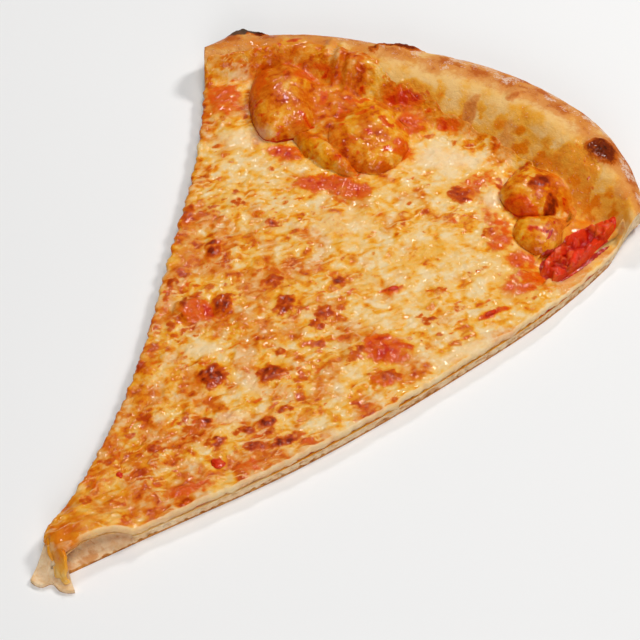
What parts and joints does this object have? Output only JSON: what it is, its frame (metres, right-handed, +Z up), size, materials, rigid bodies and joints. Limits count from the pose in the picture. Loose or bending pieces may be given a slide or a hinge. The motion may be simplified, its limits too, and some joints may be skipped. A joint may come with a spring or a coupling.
{
  "type": "cheese pizza slice",
  "caption": "Wide thin-crust slice of baked cheese pizza with a blistered rim, browned melted cheese, tomato sauce and an open air pocket at the tip.",
  "frame": {"origin": "middle of the slice's bounding box, on the surface it lies on", "axes": "+Y from the tip to the rim, +Z up out of the topping, +X towards the right cut seen from above with the rim away"},
  "size_m": [0.158, 0.2396, 0.0195],
  "materials": {
    "dough": "baked dough, dry and floury",
    "sauce": "wet tomato sauce",
    "cheese": "melted cheese with oil on it",
    "crushed_tomato": "wet crushed tomato"
  },
  "bodies": {
    "root": {"dough": "dough", "sauce": "sauce", "cheese": "cheese", "crushed_tomato": "crushed_tomato"}
  },
  "joints": []
}
